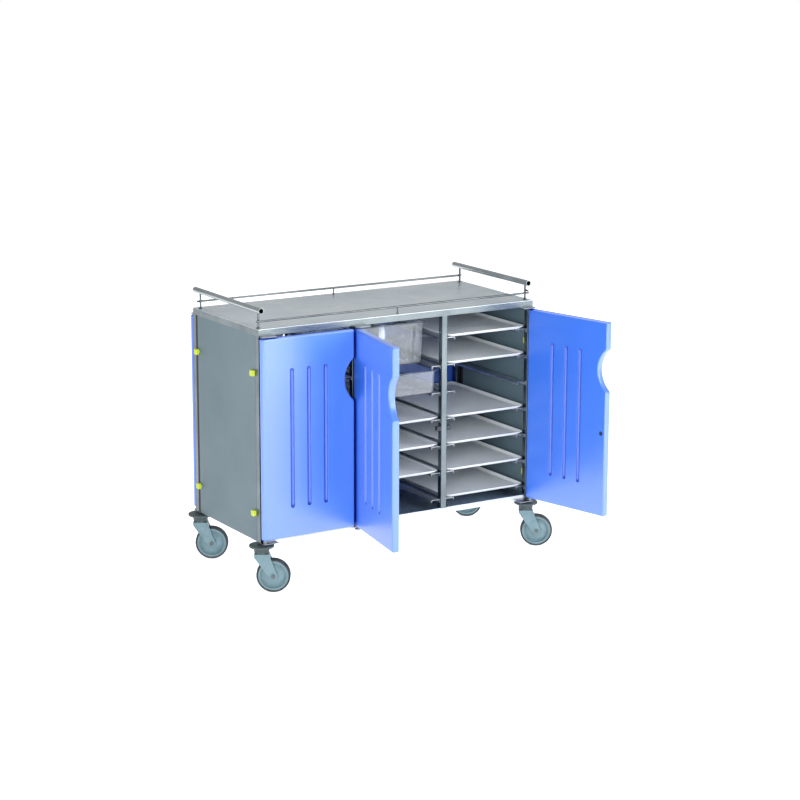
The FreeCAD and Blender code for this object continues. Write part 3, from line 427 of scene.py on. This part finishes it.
# Castors: moulded grey forks and hubs, turned steel axles and nearly black tyres. The forks and
# hubs are smeared by handling, and the tyres are dusty.
castor_plastic = mottled("castor_plastic", 30.0, detail=4.0, dark=(0.088, 0.150, 0.172),
                         light=(0.125, 0.195, 0.220), roughness=(0.36, 0.5), height=0.00005, pores=500.0)
axle_finish = mottled("axle_finish", 150.0, detail=4.0, dark=(0.10, 0.115, 0.12),
                      light=(0.18, 0.195, 0.20), roughness=(0.3, 0.46), height=0.00008, Metallic=1.0)
tyre_rubber = mottled("tyre_rubber", 35.0, detail=6.0, dark=(0.014, 0.016, 0.018),
                      light=(0.045, 0.048, 0.05), roughness=(0.6, 0.8), height=0.0001,
                      pores=700.0, Specular_IOR_Level=0.35)
for corner in ("front_left", "front_right", "rear_left", "rear_right"):
    wear(castor_plastic, corner + "_fork", corner + "_hub")
    wear(axle_finish, corner + "_axle")
    wear(tyre_rubber, corner + "_tyre")


# Trays: pressed polyester, light grey-white and faintly speckled, with a flared wall that ends
# in a rolled rim. They lie loose on a pair of runners and slide out to the front.
def rounded_ring(shape, centre, width, depth, corner, height, ribs=(0, 0), rib_depth=0.0):
    """One level of a round-cornered wall; the straight sides may be pressed into upright ribs."""
    turn_steps, rib_steps, pressed_steps = 8, 6, (2, 3, 4)
    ring = []
    corners = [Vector((centre[0] + x * (width / 2 - corner), centre[1] + y * (depth / 2 - corner), height))
               for x, y in ((1, 1), (-1, 1), (-1, -1), (1, -1))]
    for quarter in range(4):
        here, after = corners[quarter], corners[(quarter + 1) % 4]
        for step in range(turn_steps + 1):
            angle = (quarter + step / turn_steps) * math.pi / 2
            ring.append(here + Vector((math.cos(angle), math.sin(angle), 0.0)) * corner)
        outward = Vector((math.cos(angle), math.sin(angle), 0.0))
        count = rib_steps * ribs[quarter % 2]
        for step in range(1, count):
            pressed = rib_depth if step % rib_steps in pressed_steps else 0.0
            ring.append(here.lerp(after, step / count) + outward * (corner - pressed))
    return [shape.verts.new(place) for place in ring]


def walled(name, low, high, levels, ribs=(0, 0)):
    """A closed shell in a box, through levels of inset, height, corner radius and rib depth."""
    shape = bmesh.new()
    centre = ((low[0] + high[0]) / 2, (low[1] + high[1]) / 2)
    width, depth = high[0] - low[0], high[1] - low[1]
    rings = [rounded_ring(shape, centre, width - 2 * inset, depth - 2 * inset, corner, height, ribs, pressed)
             for inset, height, corner, pressed in levels]
    for below, above in zip(rings, rings[1:]):
        for n in range(len(below)):
            after = (n + 1) % len(below)
            shape.faces.new((below[n], below[after], above[after], above[n]))
    shape.faces.new(rings[0])
    shape.faces.new(rings[-1])
    bmesh.ops.recalc_face_normals(shape, faces=shape.faces)
    mesh = bpy.data.meshes.new(name)
    shape.to_mesh(mesh)
    shape.free()
    return mesh


tray_finish, tree, shader = new_material("tray_finish")
speckle = grain(tree, 900.0, detail=2.0)
clouds = grain(tree, 7.0, detail=4.0)
feed(tree, shader, tinted(tree, speckle, dark=(0.66, 0.70, 0.72), light=(0.78, 0.81, 0.82)),
     ranged(tree, clouds, 0.45, 0.32), relief(tree, speckle, 0.00008))

# Each level of the pressing: inset from the outline, height above the underside, corner radius.
foot = [(0.0150, 0.0, 0.021), (0.0122, 0.0002, 0.022), (0.0108, 0.0011, 0.023)]
rolled_rim = [(0.0020, 0.0093, 0.024), (0.0005, 0.0099, 0.024), (0.0, 0.0108, 0.024),
              (0.0004, 0.0117, 0.024), (0.0014, 0.0120, 0.024), (0.0026, 0.0116, 0.023),
              (0.0034, 0.0106, 0.022)]
inner_floor = [(0.0118, 0.0038, 0.021), (0.0134, 0.0028, 0.020), (0.0160, 0.0025, 0.019)]
profile = foot + rolled_rim + inner_floor
for name in [name for name in nodes if "_tray_" in name]:
    low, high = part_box(name)
    levels = [(inset, low[2] + height, corner, 0.0) for inset, height, corner in profile]
    pressing = walled(name + "_pressing", low, high, levels)
    pressing.materials.append(tray_finish)
    show(name + "_pressing", pressing, name)


# Bins: clear plastic, vacuum formed with upright ribs for stiffness and a flat lip all round.
# The tall one stands on the second pair of runners from the top, and the low one on the third.
bin_plastic = mottled("bin_plastic", 14.0, detail=4.0, dark=(0.86, 0.93, 0.98), light=(0.94, 0.97, 1.0),
                      roughness=(0.06, 0.16), height=0.0003, Transmission_Weight=0.92, IOR=1.45)
bin_wall, bin_lip, bin_flare = 0.0025, 0.009, 0.005
foot_inset, foot_rise, edge_round = 0.002, 0.0015, 0.0008
wall_corner = 0.022
lip_corner, inner_corner = wall_corner + bin_lip, wall_corner - bin_wall
rib_depth, rib_fade, rib_pitch = 0.0016, 0.006, 0.042
below_ribs, above_ribs = 0.014, 0.016


def bin_inset(share, extra=0.0):
    """Inset of a bin's outer wall at a share of its height; the wall flares up to the lip."""
    return bin_lip + bin_flare * (1.0 - share) + extra


for name in ("deep_bin", "shallow_bin"):
    low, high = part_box(name)
    width, depth, height = (high[axis] - low[axis] for axis in range(3))
    bottom, top = low[2], high[2]
    rib_levels = (bottom + below_ribs, bottom + below_ribs + rib_fade,
                  top - above_ribs - rib_fade, top - above_ribs)
    ribbed = [((level - bottom) / height, level, pressed)
              for level, pressed in zip(rib_levels, (0.0, rib_depth, rib_depth, 0.0))]
    outside = [(bin_inset(0.0, foot_inset), bottom, wall_corner - foot_inset, 0.0),
               (bin_inset(0.0), bottom + foot_rise, wall_corner, 0.0)]
    outside += [(bin_inset(share), level, wall_corner, pressed) for share, level, pressed in ribbed]
    rim = [(bin_inset(1.0), top - bin_wall, wall_corner, 0.0), (edge_round, top - bin_wall, lip_corner, 0.0),
           (0.0, top - bin_wall / 2, lip_corner, 0.0), (edge_round, top, lip_corner, 0.0),
           (bin_inset(1.0, bin_wall - edge_round), top, inner_corner, 0.0),
           (bin_inset(1.0, bin_wall), top - edge_round, inner_corner, 0.0)]
    inside = [(bin_inset(share, bin_wall), level, inner_corner, pressed)
              for share, level, pressed in reversed(ribbed)]
    inside += [(bin_inset(0.0, bin_wall), bottom + bin_wall + foot_rise, inner_corner, 0.0),
               (bin_inset(0.0, bin_wall + foot_inset), bottom + bin_wall, inner_corner - foot_inset, 0.0)]
    ribs = (round(width / rib_pitch), round(depth / rib_pitch))
    formed = walled(name + "_forming", low, high, outside + rim + inside, ribs)
    formed.materials.append(bin_plastic)
    show(name + "_forming", formed, name)


# Measured size: the box round what is shown, in metres.
low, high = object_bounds()
